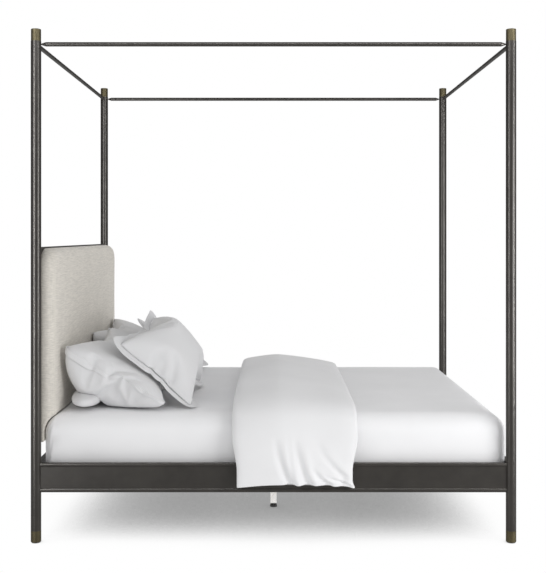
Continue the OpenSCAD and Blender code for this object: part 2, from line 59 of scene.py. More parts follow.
def lerp(a, b, t):
    """The value that lies a share t of the way from a to b."""
    return a + (b - a) * t


def smooth(edge0, edge1, x):
    """0 below edge0, 1 above edge1 and a smooth rise between them."""
    t = min(1.0, max(0.0, (x - edge0) / (edge1 - edge0)))
    return t * t * (3.0 - 2.0 * t)


def fine_noise(point, scale, seed=0.0):
    """Smooth noise from -1 to 1 whose bumps are about 1/scale metres across."""
    return noise.noise(Vector(point) * scale + Vector((seed, 1.7 * seed, -seed)))


def mesh_object(name, points, faces, shade_smooth=True):
    """A new mesh object at the origin, smoothly shaded unless told otherwise."""
    mesh = bpy.data.meshes.new(name)
    mesh.from_pydata([tuple(p) for p in points], [], faces)
    mesh.validate()
    mesh.update()
    piece = bpy.data.objects.new(name, mesh)
    bpy.context.scene.collection.objects.link(piece)
    for polygon in mesh.polygons:
        polygon.use_smooth = shade_smooth
    return piece


def bridge(loops, close_start=True, close_end=True):
    """Faces between closed loops of equal length, whose points are numbered in order."""
    count = len(loops[0])
    faces = []
    for low, high in zip(loops, loops[1:]):
        for i in range(count):
            j = (i + 1) % count
            faces.append((low[i], low[j], high[j], high[i]))
    if close_start:
        faces.append(tuple(reversed(loops[0])))
    if close_end:
        faces.append(tuple(loops[-1]))
    return faces


def add_loop(points, loops, ring):
    """Adds a ring's points to points, and the loop of their numbers to loops."""
    loops.append(list(range(len(points), len(points) + len(ring))))
    points.extend(ring)


def add_modifier(piece, kind, **settings):
    """Adds a modifier with the given settings, which stays on the piece."""
    modifier = piece.modifiers.new(kind.title(), kind)
    for key, value in settings.items():
        setattr(modifier, key, value)
    return modifier


def apply_modifiers(piece):
    """Replaces the piece's mesh by the result of its modifiers."""
    graph = bpy.context.evaluated_depsgraph_get()
    result = bpy.data.meshes.new_from_object(piece.evaluated_get(graph))
    piece.modifiers.clear()
    piece.data = result


def move_points(piece, move):
    """Sets each vertex to move(its place)."""
    for vertex in piece.data.vertices:
        vertex.co = move(vertex.co)


# ---------------------------------------------------------------- materials

def new_material(name):
    """A new material, its node tree and its shader."""
    material = bpy.data.materials.new(name)
    material.use_nodes = True
    tree = material.node_tree
    shader = tree.nodes["Principled BSDF"]
    return material, tree, shader


def add(tree, kind, **settings):
    """A shader node; settings named as its properties or, failing that, as its inputs."""
    node = tree.nodes.new(kind)
    for key, value in settings.items():
        if key in node.bl_rna.properties:
            setattr(node, key, value)
        else:
            node.inputs[key].default_value = value
    return node


def object_place(tree, scale):
    """The place on the object in metres, stretched by scale."""
    place = add(tree, "ShaderNodeTexCoord")
    mapping = add(tree, "ShaderNodeMapping")
    mapping.inputs["Scale"].default_value = scale
    tree.links.new(place.outputs["Object"], mapping.inputs["Vector"])
    return mapping.outputs["Vector"]


def noise_texture(tree, scale, detail=3.0, stretch=(1, 1, 1)):
    """Noise on the object's own place; stretch is how fine it is along each axis, times scale."""
    texture = add(tree, "ShaderNodeTexNoise", Scale=scale, Detail=detail)
    tree.links.new(object_place(tree, stretch), texture.inputs["Vector"])
    return texture.outputs["Fac"]


def two_colours(tree, factor, low, high, low_at=0.3, high_at=0.7):
    """Fades from one colour to another as factor rises from low_at to high_at."""
    ramp = add(tree, "ShaderNodeValToRGB")
    ramp.color_ramp.elements[0].position = low_at
    ramp.color_ramp.elements[0].color = (*low, 1)
    ramp.color_ramp.elements[1].position = high_at
    ramp.color_ramp.elements[1].color = (*high, 1)
    tree.links.new(factor, ramp.inputs["Fac"])
    return ramp.outputs["Color"]


def bumps(tree, shader, layers):
    """Chains height maps, each (height output, distance in metres, strength), into the normal."""
    normal = None
    for height, distance, strength in layers:
        bump = add(tree, "ShaderNodeBump", Distance=distance, Strength=strength)
        tree.links.new(height, bump.inputs["Height"])
        if normal is not None:
            tree.links.new(normal, bump.inputs["Normal"])
        normal = bump.outputs["Normal"]
    tree.links.new(normal, shader.inputs["Normal"])


def shade(colour, factor):
    """The colour made darker or lighter, at most white."""
    return tuple(min(1.0, c * factor) for c in colour)


def coated_metal(slot, metallic, rough, depth=1.0, grain=900.0, variation=0.12, turned=False):
    """Powder coat, plate or brass: a slight mottle, a fine grain, and turning lines if turned.

    depth darkens or lightens the record's colour.
    """
    material, tree, shader = new_material(slot)
    colour = shade(SLOTS[slot]["base_color"][:3], depth)
    mottle = noise_texture(tree, 14.0, 4.0)
    tree.links.new(
        two_colours(tree, mottle, shade(colour, 1 - variation), shade(colour, 1 + variation)),
        shader.inputs["Base Color"],
    )
    roughness = add(tree, "ShaderNodeMapRange")
    roughness.inputs["To Min"].default_value = rough - 0.05
    roughness.inputs["To Max"].default_value = rough + 0.07
    tree.links.new(noise_texture(tree, 40.0), roughness.inputs["Value"])
    tree.links.new(roughness.outputs["Result"], shader.inputs["Roughness"])
    shader.inputs["Metallic"].default_value = metallic
    layers = [(noise_texture(tree, grain, 2.0), 0.0001, 0.2)]
    if turned:
        layers.append((noise_texture(tree, 1.0, 2.0, (2, 2, 1800)), 0.0001, 0.35))
    bumps(tree, shader, layers)
    return material


def moulded_nylon(slot):
    """Black nylon with the faint texture of a mould."""
    material, tree, shader = new_material(slot)
    colour = SLOTS[slot]["base_color"][:3]
    tree.links.new(
        two_colours(tree, noise_texture(tree, 60.0), shade(colour, 0.8), shade(colour, 1.3)),
        shader.inputs["Base Color"],
    )
    shader.inputs["Roughness"].default_value = 0.6
    bumps(tree, shader, [(noise_texture(tree, 1500.0), 0.0002, 0.3)])
    return material


def bare_birch(slot):
    """Birch with a straight grain along the slats, which run across the bed."""
    material, tree, shader = new_material(slot)
    colour = SLOTS[slot]["base_color"][:3]
    grain = noise_texture(tree, 1.0, 5.0, (90, 3, 90))
    tree.links.new(
        two_colours(tree, grain, shade(colour, 0.72), shade(colour, 1.18)),
        shader.inputs["Base Color"],
    )
    shader.inputs["Roughness"].default_value = 0.62
    bumps(tree, shader, [(grain, 0.0006, 0.35)])
    return material


def woven_linen(slot):
    """Oatmeal linen: threads both ways in the headboard's plane and long, level slubs."""
    material, tree, shader = new_material(slot)
    colour = shade(SLOTS[slot]["base_color"][:3], 1.22)
    slubs = noise_texture(tree, 1.0, 4.0, (60, 16, 420))
    cross_slubs = noise_texture(tree, 1.0, 3.0, (60, 330, 12))
    patches = noise_texture(tree, 5.0, 3.0)
    mix = add(tree, "ShaderNodeMix", data_type="RGBA", blend_type="MULTIPLY")
    mix.inputs["Factor"].default_value = 0.55
    threads = two_colours(tree, slubs, shade(colour, 0.88), shade(colour, 1.10), 0.36, 0.64)
    tree.links.new(threads, mix.inputs["A"])
    tree.links.new(two_colours(tree, cross_slubs, (0.86, 0.86, 0.85), (1, 1, 1)), mix.inputs["B"])
    blotch = add(tree, "ShaderNodeMix", data_type="RGBA", blend_type="MULTIPLY")
    blotch.inputs["Factor"].default_value = 1.0
    tree.links.new(mix.outputs["Result"], blotch.inputs["A"])
    tree.links.new(two_colours(tree, patches, (0.95, 0.95, 0.95), (1, 1, 1)), blotch.inputs["B"])
    tree.links.new(blotch.outputs["Result"], shader.inputs["Base Color"])
    shader.inputs["Roughness"].default_value = 0.9
    shader.inputs["Sheen Weight"].default_value = 0.15
    weft = noise_texture(tree, 1.0, 2.0, (200, 60, 1100))
    warp = noise_texture(tree, 1.0, 2.0, (200, 1100, 60))
    bumps(tree, shader, [(slubs, 0.0012, 0.5), (weft, 0.0006, 0.5), (warp, 0.0006, 0.5)])
    return material


def soft_cotton(slot, crease=0.25, quilt=False, depth=1.0):
    """White cotton: a fine weave, faint creases and a slight change of tone across it.

    crease is the strength of the creases, and depth darkens or lightens the record's colour.
    """
    material, tree, shader = new_material(slot)
    colour = shade(SLOTS[slot]["base_color"][:3], depth)
    tone = noise_texture(tree, 3.0, 3.0)
    tree.links.new(
        two_colours(tree, tone, shade(colour, 0.965), shade(colour, 1.02)),
        shader.inputs["Base Color"],
    )
    shader.inputs["Roughness"].default_value = 0.88
    shader.inputs["Sheen Weight"].default_value = 0.12
    shader.inputs["Sheen Roughness"].default_value = 0.5
    creases = noise_texture(tree, 9.0, 4.0)
    weave = noise_texture(tree, 1400.0, 1.0)
    layers = [(creases, 0.006, crease), (weave, 0.0003, 0.3)]
    if quilt:
        layers.append((noise_texture(tree, 24.0, 1.0), 0.003, 0.6))
    bumps(tree, shader, layers)
    return material


MATERIALS = {
    "bronze": coated_metal("bronze", 0.35, 0.33, depth=0.60),
    "brass": coated_metal("brass", 0.60, 0.48, depth=0.43, variation=0.2, turned=True),
    "steel": coated_metal("steel", 0.8, 0.45),
    # Painted light: the leg's grey is lightened up to white to make up for the shade under the bed.
    "leg_grey": coated_metal("leg_grey", 0.0, 0.5, depth=1.75, variation=0.04),
    "nylon": moulded_nylon("nylon"),
    "birch": bare_birch("birch"),
    "linen": woven_linen("linen"),
    "ticking": soft_cotton("ticking", quilt=True),
    "sheet_cotton": soft_cotton("sheet_cotton", crease=0.12, depth=1.07),
    "duvet_cotton": soft_cotton("duvet_cotton", crease=0.2, depth=0.98),
    "pillow_cotton": soft_cotton("pillow_cotton", crease=0.2, depth=0.87),
}


def dress_frame():
    """Gives every CAD node the material of its slot in the record."""
    for row in frame["record"]["subparts"]:
        node = frame["nodes"][row["node"]]
        for material_slot in node.material_slots:
            material_slot.material = MATERIALS[row["material_slot"]]


def place(piece, slot, *nodes):
    """Finishes a piece that stands for CAD nodes and rides on the bed's frame."""
    piece.data.materials.clear()
    piece.data.materials.append(MATERIALS[slot])
    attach(piece, "root")
    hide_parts(*nodes)


# ---------------------------------------------------------------- slabs with rounded corners

CORNER_STEPS = 10
SIDE_STEPS = 48


def rounded_outline(half_a, half_b, radii, inset):
    """Points round a rectangle set in all round; radii are its corner radii at +b and at -b."""
    a, b = half_a - inset, half_b - inset
    high_r, low_r = (max(radius - inset, 0.006) for radius in radii)
    centres = [
        (a - high_r, b - high_r, high_r, 0),
        (-a + high_r, b - high_r, high_r, 90),
        (-a + low_r, -b + low_r, low_r, 180),
        (a - low_r, -b + low_r, low_r, 270),
    ]
    points = []
    for index, (ca, cb, r, start) in enumerate(centres):
        for step in range(CORNER_STEPS + 1):
            angle = math.radians(start + 90 * step / CORNER_STEPS)
            points.append((ca + r * math.cos(angle), cb + r * math.sin(angle)))
        na, nb, r, turn = centres[(index + 1) % 4]
        angle = math.radians(turn)
        end = (na + r * math.cos(angle), nb + r * math.sin(angle))
        begin = points[-1]
        for step in range(1, SIDE_STEPS):
            t = step / SIDE_STEPS
            points.append((lerp(begin[0], end[0], t), lerp(begin[1], end[1], t)))
    return points


def slab(name, half_a, half_b, radii, profile, to_world, fill_rings=12, open_start=False):
    """A closed slab: rings at (inset, height) pairs, both ends filled by shrinking rings.

    to_world turns (a, b, height) into a place. With open_start the first end is left open.
    """
    def outline(inset, height, share=1.0):
        corners = rounded_outline(half_a, half_b, radii, inset)
        return [(a * share, b * share, height) for a, b in corners]

    shares = [k / (fill_rings + 1) for k in range(1, fill_rings + 1)]
    rings = []
    if not open_start:
        rings += [outline(*profile[0], share) for share in shares]
    rings += [outline(*level) for level in profile]
    rings += [outline(*profile[-1], share) for share in reversed(shares)]
    points = []
    loops = []
    for ring in rings:
        add_loop(points, loops, [to_world(a, b, height) for a, b, height in ring])
    return mesh_object(name, points, bridge(loops, close_start=not open_start))


def quarter_round(radius, steps, from_height, start_inset=0.0):
    """Profile points round an edge, from upright at from_height to level."""
    return [
        (
            start_inset + radius * (1 - math.cos(math.radians(90 * k / steps))),
            from_height + radius * math.sin(math.radians(90 * k / steps)),
        )
        for k in range(steps + 1)
    ]


# ---------------------------------------------------------------- mattress and fitted sheet

MATTRESS_LOW, MATTRESS_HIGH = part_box("mattress")
MATTRESS_TOP = MATTRESS_HIGH[2]
MATTRESS_MID_X = (MATTRESS_LOW[0] + MATTRESS_HIGH[0]) / 2
MATTRESS_HALF_L = (MATTRESS_HIGH[0] - MATTRESS_LOW[0]) / 2
MATTRESS_HALF_W = (MATTRESS_HIGH[1] - MATTRESS_LOW[1]) / 2
CROWN_R = 0.082                                  # the rounding of the mattress's upper edge
MATTRESS_PLAN = (MATTRESS_HALF_L, MATTRESS_HALF_W, (0.040, 0.040))
MATTRESS_INSET = 0.002                           # how far the core stays inside its CAD solid
SHEET_GAP = 0.0025
SHEET_T = 0.0008
SHEET_WAVE = 0.0012
CREASE_DEPTH = 0.0022                            # the creases at the sheet's four corners,
CREASE_RATE = 260.0                              # their radians per metre round the corner
CREASE_SLANT = 60.0                              # and per metre of height
HOLLOW_DEPTH = 0.006
HOLLOW_X = -0.82
HOLLOW_HALF_W = 0.060


def side_hollow(x, y, z):
    """How far the near side is drawn in: a soft hollow that deepens downwards near the head end."""
    if y >= 0:
        return 0.0
    across = (x - HOLLOW_X) / HOLLOW_HALF_W
    return HOLLOW_DEPTH * math.exp(-across ** 2) * (1 - smooth(0.32, 0.46, z))


def make_mattress():
    """The mattress's core, rounded along all its edges and set just inside the sheet."""
    inset = MATTRESS_INSET
    base = MATTRESS_LOW[2] + inset
    top = MATTRESS_TOP - inset
    profile = [(0.030, base), (0.016, base + 0.003), (0.006, base + 0.012), (inset, base + 0.03)]
    profile += [(inset, lerp(base + 0.03, top - CROWN_R, t)) for t in (0.25, 0.5, 0.75)]
    profile += quarter_round(CROWN_R, 8, top - CROWN_R, inset)

    def to_world(a, b, height):
        x = MATTRESS_MID_X + a
        return (x, b * (1 - side_hollow(x, b, height) / MATTRESS_HALF_W), height)

    piece = slab("mattress_core", *MATTRESS_PLAN, profile, to_world)
    place(piece, "ticking", "mattress")


def make_fitted_sheet():
    """The sheet over the mattress's top and sides, drawn in under its lower edge.

    It waves slightly, and at the mattress's corners it is pulled into small upright creases.
    """
    out = -SHEET_GAP
    base = MATTRESS_LOW[2]
    top = MATTRESS_TOP + SHEET_GAP - 0.001
    crown = CROWN_R + 0.002
    profile = [
        (0.055, base + 0.001),
        (0.030, base + 0.0008),
        (0.010, base + 0.004),
        (out + 0.003, base + 0.014),
        (out, base + 0.030),
    ]
    rows = 8
    profile += [(out, lerp(base + 0.03, top - crown, k / rows)) for k in range(1, rows)]
    profile += quarter_round(crown, 10, top - crown, out)

    def to_world(a, b, height):
        x, y = MATTRESS_MID_X + a, b
        side = 1.0 - smooth(top - crown, top, height)
        lift = 1.0 - side
        wave = fine_noise((x, y, height), 6.0, 3.0) * SHEET_WAVE
        corner = smooth(0.86, 1.0, abs(a) / MATTRESS_HALF_L)
        corner *= smooth(0.82, 1.0, abs(b) / MATTRESS_HALF_W)
        crease = math.sin((abs(a) - abs(b)) * CREASE_RATE + height * CREASE_SLANT)
        pull = corner * side * CREASE_DEPTH * crease
        inward = wave * side + pull * smooth(base, base + 0.05, height)
        inward += side_hollow(x, y, height) * side
        scale_a = 1.0 - inward / MATTRESS_HALF_L
        scale_b = 1.0 - inward / MATTRESS_HALF_W
        z = height + lift * (fine_noise((x, y, 0.0), 2.6, 9.0) * SHEET_WAVE - SHEET_T)
        return (MATTRESS_MID_X + a * scale_a, b * scale_b, z)

    piece = slab(
        "fitted_sheet_cloth", *MATTRESS_PLAN, profile, to_world, fill_rings=24, open_start=True
    )
    add_modifier(piece, "SOLIDIFY", thickness=SHEET_T, offset=-1.0)
    place(piece, "sheet_cotton", "fitted_sheet")


# ---------------------------------------------------------------- headboard pad

PAD_LOW, PAD_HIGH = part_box("headboard_pad")
PAD_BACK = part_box("headboard_board")[0][0]
PAD_MID_Z = (PAD_LOW[2] + PAD_HIGH[2]) / 2
PAD_HALF_H = (PAD_HIGH[2] - PAD_LOW[2]) / 2
PAD_HALF_W = PAD_HIGH[1]
PAD_FRONT = PAD_HIGH[0]
PAD_CORNERS = (0.088, 0.010)                     # corner radii at the pad's top and bottom
PAD_EDGE_R = 0.048
PAD_CROWN = 0.003
PAD_WAVE = 0.0010
PAD_CLEARANCE = 0.003                            # between the pad and the sheet


def mattress_front(z):
    """The furthest the pad may come forward at height z, clear of the mattress's head end."""
    reach = CROWN_R + SHEET_GAP + PAD_CLEARANCE
    centre_x = MATTRESS_LOW[0] + CROWN_R
    centre_z = MATTRESS_TOP - CROWN_R
    if z >= centre_z + reach:
        return PAD_FRONT + 0.02
    rise = max(0.0, z - centre_z)
    return centre_x - math.sqrt(reach * reach - rise * rise)


def make_headboard_pad():
    """The upholstered pad, with full rounded edges and a slightly crowned, hand-stretched face."""
    depth = PAD_FRONT - PAD_BACK
    profile = [(0.004, 0.0), (0.0, 0.003), (0.0, (depth - PAD_EDGE_R) * 0.6)]
    profile += quarter_round(PAD_EDGE_R, 12, depth - PAD_EDGE_R - 0.003)

    def to_world(a, b, height):
        y, z = a, PAD_MID_Z + b
        edge = min(PAD_HALF_W - abs(a), PAD_HALF_H - abs(b))
        front = smooth(depth * 0.5, depth, height)
        x = PAD_BACK + height + front * PAD_CROWN * smooth(0.0, 0.25, edge)
        x += front * PAD_WAVE * fine_noise((0.0, y, z), 5.0, 4.0)
        return (min(x, mattress_front(z)), y, z)

    piece = slab(
        "headboard_pad_cover", PAD_HALF_W, PAD_HALF_H, PAD_CORNERS, profile, to_world, fill_rings=26
    )
    place(piece, "linen", "headboard_pad")


# ---------------------------------------------------------------- duvet

DUVET_LOW, DUVET_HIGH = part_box("duvet")
DUVET_HEM_Z = DUVET_LOW[2]
DUVET_OUTER_Y = DUVET_HIGH[1]
DUVET_TOP = DUVET_HIGH[2]
DUVET_REST_Z = MATTRESS_TOP + SHEET_GAP + 0.0015
RAIL_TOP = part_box("side_rail_right_beads")[1][2]
RAIL_OUTER_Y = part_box("side_rail_left_beads")[1][1]
DUVET_STATIONS = 220
DUVET_ABOVE = 150                                # points round a ring on the outside
DUVET_BELOW = 50                                 # and on the underside
DUVET_HEAD_X = -0.181                            # its edges along the bed, on top of the mattress
DUVET_FOOT_X = 0.368
CREST = 0.38                                     # where the duvet is thickest across its width


def curve_through(points, t):
    """A point at t, from 0 to 1, on a smooth curve through evenly numbered points."""
    last = len(points) - 1
    place_on = min(max(t, 0.0), 1.0) * last
    i = min(int(place_on), last - 1)
    f = place_on - i
    p0 = Vector(points[max(i - 1, 0)])
    p1 = Vector(points[i])
    p2 = Vector(points[i + 1])
    p3 = Vector(points[min(i + 2, last)])
    squared = 2 * p0 - 5 * p1 + 4 * p2 - p3
    cubed = 3 * p1 - p0 - 3 * p2 + p3
    return 0.5 * (2 * p1 + (p2 - p0) * f + squared * f ** 2 + cubed * f ** 3)


# The duvet's two sides from the middle of the bed to the hem, as (distance from it, height),
# with each point of the outside across from the same point of the underside
UNDERSIDE = [
    (0.0, DUVET_REST_Z),
    (0.20, DUVET_REST_Z),
    (0.40, DUVET_REST_Z),
    (0.58, DUVET_REST_Z),
    (0.695, DUVET_REST_Z - 0.001),
    (0.752, DUVET_REST_Z - 0.026),
    (0.775, DUVET_REST_Z - 0.085),
    (0.799, DUVET_REST_Z - 0.150),
    (RAIL_OUTER_Y + 0.004, RAIL_TOP - 0.002),
    (RAIL_OUTER_Y + 0.005, RAIL_TOP - 0.050),
    (RAIL_OUTER_Y + 0.007, DUVET_HEM_Z - 0.003),
]
OUTSIDE = [
    (0.0, DUVET_TOP + 0.042),
    (0.20, DUVET_TOP + 0.041),
    (0.41, DUVET_TOP + 0.036),
    (0.600, DUVET_TOP + 0.023),
    (0.715, DUVET_TOP - 0.001),
    (0.790, DUVET_TOP - 0.040),
    (0.835, DUVET_TOP - 0.102),
    (DUVET_OUTER_Y - 0.003, DUVET_TOP - 0.180),
    (DUVET_OUTER_Y + 0.002, DUVET_TOP - 0.265),
    (DUVET_OUTER_Y - 0.004, RAIL_TOP - 0.052),
    (DUVET_OUTER_Y - 0.014, DUVET_HEM_Z - 0.006),
]

# Folds hanging on the near drop: start and end as (x, z), depth and half width, all in metres
NEAR_FOLDS = [
    ((0.010, 0.470), (0.070, 0.262), 0.018, 0.017),
    ((0.062, 0.490), (0.088, 0.262), 0.006, 0.012),
    ((0.092, 0.475), (0.150, 0.262), 0.016, 0.017),
    ((0.190, 0.460), (0.300, 0.300), 0.008, 0.018),
    ((0.165, 0.345), (0.235, 0.262), 0.012, 0.015),
    ((0.220, 0.310), (0.325, 0.262), 0.009, 0.015),
]
FAR_FOLDS = [
    ((-0.090, 0.450), (-0.110, 0.262), 0.012, 0.012),
    ((0.040, 0.460), (0.020, 0.262), 0.014, 0.013),
    ((0.120, 0.430), (0.080, 0.262), 0.010, 0.011),
    ((0.210, 0.450), (0.240, 0.262), 0.013, 0.013),
    ((0.290, 0.400), (0.310, 0.262), 0.008, 0.012),
]


def fold_depth(folds, x, z):
    """Depth of the hanging folds at a place: each is a valley that deepens and curves downwards."""
    total = 0.0
    for (x0, z0), (x1, z1), depth, width in folds:
        t = (z0 - z) / (z0 - z1)
        if t <= 0.0:
            continue
        t = min(t, 1.0)
        middle = lerp(x0, x1, t ** 1.7)
        across = (x - middle) / width
        valley = math.exp(-across * across) - 0.55 * math.exp(-((across - 1.9) ** 2) / 1.6)
        total += depth * valley * t ** 0.8
    return total


def duvet_edges(t):
    """The head-side and foot-side edges in x, at t from the middle, 0, to the hem, 1."""
    pinch = smooth(0.62, 0.84, t)
    flare = smooth(0.93, 1.0, t)
    head_edge = DUVET_HEAD_X + 0.022 * pinch
    foot_edge = DUVET_FOOT_X - 0.026 * pinch + 0.010 * flare
    return head_edge, foot_edge


def duvet_loft(share, t):
    """Share of the full thickness, at a share from the head-side edge to the foot-side one."""
    if share < CREST:
        loft = lerp(0.80, 1.0, smooth(0.0, CREST, share))
    else:
        loft = lerp(1.0, 0.42, ((share - CREST) / (1 - CREST)) ** 1.15)
    return lerp(loft, 1.0, smooth(0.45, 0.85, t))


def duvet_outline():
    """Points round the duvet's section as (place across from -1 to 1, level from 0 to 1)."""
    outline = []
    for k in range(DUVET_ABOVE):
        u = math.sin(math.pi * (k / DUVET_ABOVE - 0.5))
        outline.append((-u, 0.5 + 0.5 * (1 - abs(u) ** 12) ** 0.42))
    for k in range(DUVET_BELOW):
        u = math.sin(math.pi * (k / DUVET_BELOW - 0.5))
        outline.append((u, 0.5 - 0.5 * (1 - abs(u) ** 14) ** 0.5))
    return outline


def duvet_ring(station):
    """One closed ring round the duvet, from the near hem at station 0 to the far hem at 1."""
    far = station > 0.5
    t = abs(station - 0.5) * 2
    side = 1 if far else -1
    under = curve_through(UNDERSIDE, t)
    outside = curve_through(OUTSIDE, t)
    depth = (outside - under).length
    head_edge, foot_edge = duvet_edges(t)
    half = (foot_edge - head_edge) / 2
    middle = (head_edge + foot_edge) / 2
    corners = 0.009 * smooth(0.9, 1.0, t)
    ring = []
    for u, level in duvet_outline():
        x = middle + half * u
        reach = level * duvet_loft((u + 1) / 2, t)
        y, z = under.lerp(outside, reach)
        skin = smooth(0.5, 0.95, level)
        fold = fold_depth(FAR_FOLDS if far else NEAR_FOLDS, x, z) * smooth(0.56, 0.72, t)
        fill = 0.006 * fine_noise((x, side * y, z), 4.5, 7.0) * (1 - smooth(0.7, 0.9, t))
        reach = max(reach - skin * (fold - fill) / depth, 0.12 * level)
        y, z = under.lerp(outside, reach)
        ring.append((x, side * y, z + corners * (1 - 1.6 * abs(u) ** 3)))
    return ring


def make_duvet():
    """The folded duvet, one closed skin drawn over the bed from hem to hem."""
    points = []
    loops = []
    for s in range(DUVET_STATIONS + 1):
        add_loop(points, loops, duvet_ring(s / DUVET_STATIONS))
    piece = mesh_object("duvet_folded", points, bridge(loops))
    place(piece, "duvet_cotton", "duvet")


# ---------------------------------------------------------------- pillows

CLOTH_SPACING = 0.011                            # between the simulated cloth's points
CLOTH_FRAMES = 26
PILLOW_START_H = 0.006                           # half the height from which a pillow is filled


def round_corner(x, y, half_u, half_v, radius):
    """Moves a point of a rectangle so that the rectangle's corners become rounded."""
    over_x = abs(x) - (half_u - radius)
    over_y = abs(y) - (half_v - radius)
    if over_x <= 0 or over_y <= 0:
        return x, y
    scale = max(over_x, over_y) / math.hypot(over_x, over_y)
    return (
        math.copysign(half_u - radius + over_x * scale, x),
        math.copysign(half_v - radius + over_y * scale, y),
    )


def pillow_grid(half_u, half_v, rows, columns, radius):
    """Two flat cloths sewn round their edge: points, faces and the numbers of the edge's points."""
    points = []
    faces = []
    index = {}
    for side in (1, -1):
        for i in range(rows + 1):
            for j in range(columns + 1):
                on_edge = i in (0, rows) or j in (0, columns)
                if on_edge and side < 0:
                    index[side, i, j] = index[1, i, j]
                    continue
                index[side, i, j] = len(points)
                height = 0.0 if on_edge else PILLOW_START_H * side
                x = lerp(-half_u, half_u, i / rows)
                y = lerp(-half_v, half_v, j / columns)
                points.append((*round_corner(x, y, half_u, half_v, radius), height))
        for i in range(rows):
            for j in range(columns):
                corners = [(i, j), (i + 1, j), (i + 1, j + 1), (i, j + 1)]
                quad = tuple(index[side, row, column] for row, column in corners)
                faces.append(quad if side > 0 else quad[::-1])
    edge = [index[1, i, 0] for i in range(rows)]
    edge += [index[1, rows, j] for j in range(columns)]
    edge += [index[1, i, columns] for i in range(rows, 0, -1)]
    edge += [index[1, 0, j] for j in range(columns, 0, -1)]
    return points, faces, edge


def inflate(piece, pressure, frames, stiffness=18.0):
    """Fills a sewn cover by cloth simulation with no gravity, and keeps the result."""
    scene = bpy.context.scene
    cloth = piece.modifiers.new("Cloth", "CLOTH")
    settings = cloth.settings
    settings.quality = 6
    settings.mass = 0.15
    settings.tension_stiffness = stiffness
    settings.compression_stiffness = stiffness
    settings.shear_stiffness = 6.0
    settings.bending_stiffness = 0.12
    settings.air_damping = 3.0
    settings.use_pressure = True
    settings.uniform_pressure_force = pressure
    settings.effector_weights.gravity = 0.0
    cloth.collision_settings.use_self_collision = False
    cloth.collision_settings.use_collision = False
    cloth.point_cache.frame_start = 1
    cloth.point_cache.frame_end = frames
    for number in range(1, frames + 1):
        scene.frame_set(number)
    apply_modifiers(piece)
    scene.frame_set(1)


def pillow_body(name, length, width, thickness, radius, pressure):
    """A filled pillow lying level at the origin, u along X and v along Y, and its seam's points."""
    half_u, half_v = length / 2, width / 2
    rows, columns = round(length / CLOTH_SPACING), round(width / CLOTH_SPACING)
    points, faces, edge = pillow_grid(half_u, half_v, rows, columns, radius)
    piece = mesh_object(name, points, faces)
    inflate(piece, pressure, CLOTH_FRAMES)
    return piece, edge


FLANGE_ROWS = 5
FLANGE_W = 0.036
FLANGE_HALF_T = 0.0012
WELT_W = 0.005                                   # the cord in the seam of a cover with no flange
WELT_HALF_T = 0.003
FLANGE_WAVE = 0.007                              # how far the flange's outer edge waves
FLANGE_CORNER = 0.40                             # the share by which its corners reach further out
SEAM_OVERLAP = 0.002                             # how far the border starts inside the seam


def border_rings(seam, width, seed):
    """The border's middle lines, from just inside the seam to its waving outer edge."""
    half_u = max(abs(p.x) for p in seam)
    half_v = max(abs(p.y) for p in seam)
    count = len(seam)
    rings = []
    for row in range(FLANGE_ROWS + 1):
        share = row / FLANGE_ROWS
        ring = []
        for k, p in enumerate(seam):
            before = seam[(k - 3) % count]
            after = seam[(k + 3) % count]
            along = (after - before).normalized()
            outward = Vector((along.y, -along.x, 0.0))
            if outward.dot(Vector((p.x / half_u, p.y / half_v, 0))) < 0:
                outward = -outward
            corner = smooth(0.90, 1.0, abs(p.x) / half_u) * smooth(0.90, 1.0, abs(p.y) / half_v)
            outward = outward.normalized() * (1.0 + FLANGE_CORNER * corner)
            place_on = p + outward * (width * share - SEAM_OVERLAP)
            place_on.z += share * share * FLANGE_WAVE * fine_noise(p, 11.0, seed)
            ring.append(place_on)
        rings.append(ring)
    return rings


def add_border(piece, edge, width, half_t, seed):
    """Sews a border round a pillow's seam, waving a little towards its outer edge."""
    mesh = piece.data
    points = [Vector(v.co) for v in mesh.vertices]
    faces = [tuple(p.vertices) for p in mesh.polygons]
    rings = border_rings([points[i].copy() for i in edge], width, seed)
    lift = Vector((0, 0, half_t))
    sections = [[q + lift for q in ring] for ring in rings]
    sections += [[q - lift for q in ring] for ring in reversed(rings)]
    loops = []
    for section in sections:
        add_loop(points, loops, section)
    loops.append(loops[0])
    faces += bridge(loops, close_start=False, close_end=False)
    flanged = bpy.data.meshes.new(mesh.name)
    flanged.from_pydata([tuple(p) for p in points], [], faces)
    flanged.update()
    for polygon in flanged.polygons:
        polygon.use_smooth = True
    piece.data = flanged


def lay_down(piece, row, cover):
    """Lays a level pillow between its row's four corners and gives its cloths their fullness.

    The corners are low right, high right, low left and high left, as the sleeper sees them. front
    and back say how far each cloth stands off where it is fullest, as (x, z) at the low edge and
    at the high edge. The cover's widen says how far the sides, drawn in by the filling, are let
    out again, and the row's sag how far they hang below the line between their corners.
    """
    low_r, high_r, low_l, high_l = (Vector(c) for c in row["corners"])
    half_u = max(abs(v.co.x) for v in piece.data.vertices)
    half_v = max(abs(v.co.y) for v in piece.data.vertices)
    fullest = max(abs(v.co.z) for v in piece.data.vertices)

    def move(co):
        u = (co.x / half_u + 1) / 2
        v = (co.y / half_v + 1) / 2
        bow = 4 * u * (1 - u)
        seat = low_r.lerp(low_l, v).lerp(high_r.lerp(high_l, v), u)
        seat.y += (2 * v - 1) * cover["widen"] * bow
        seat.z -= row["sag"] * bow * abs(2 * v - 1) ** 4
        low, high = row["front"] if co.z > 0 else row["back"]
        stand_off = Vector((lerp(low[0], high[0], u), 0.0, lerp(low[1], high[1], u)))
        return seat + stand_off * (abs(co.z) / fullest) ** cover["blunt"]

    move_points(piece, move)


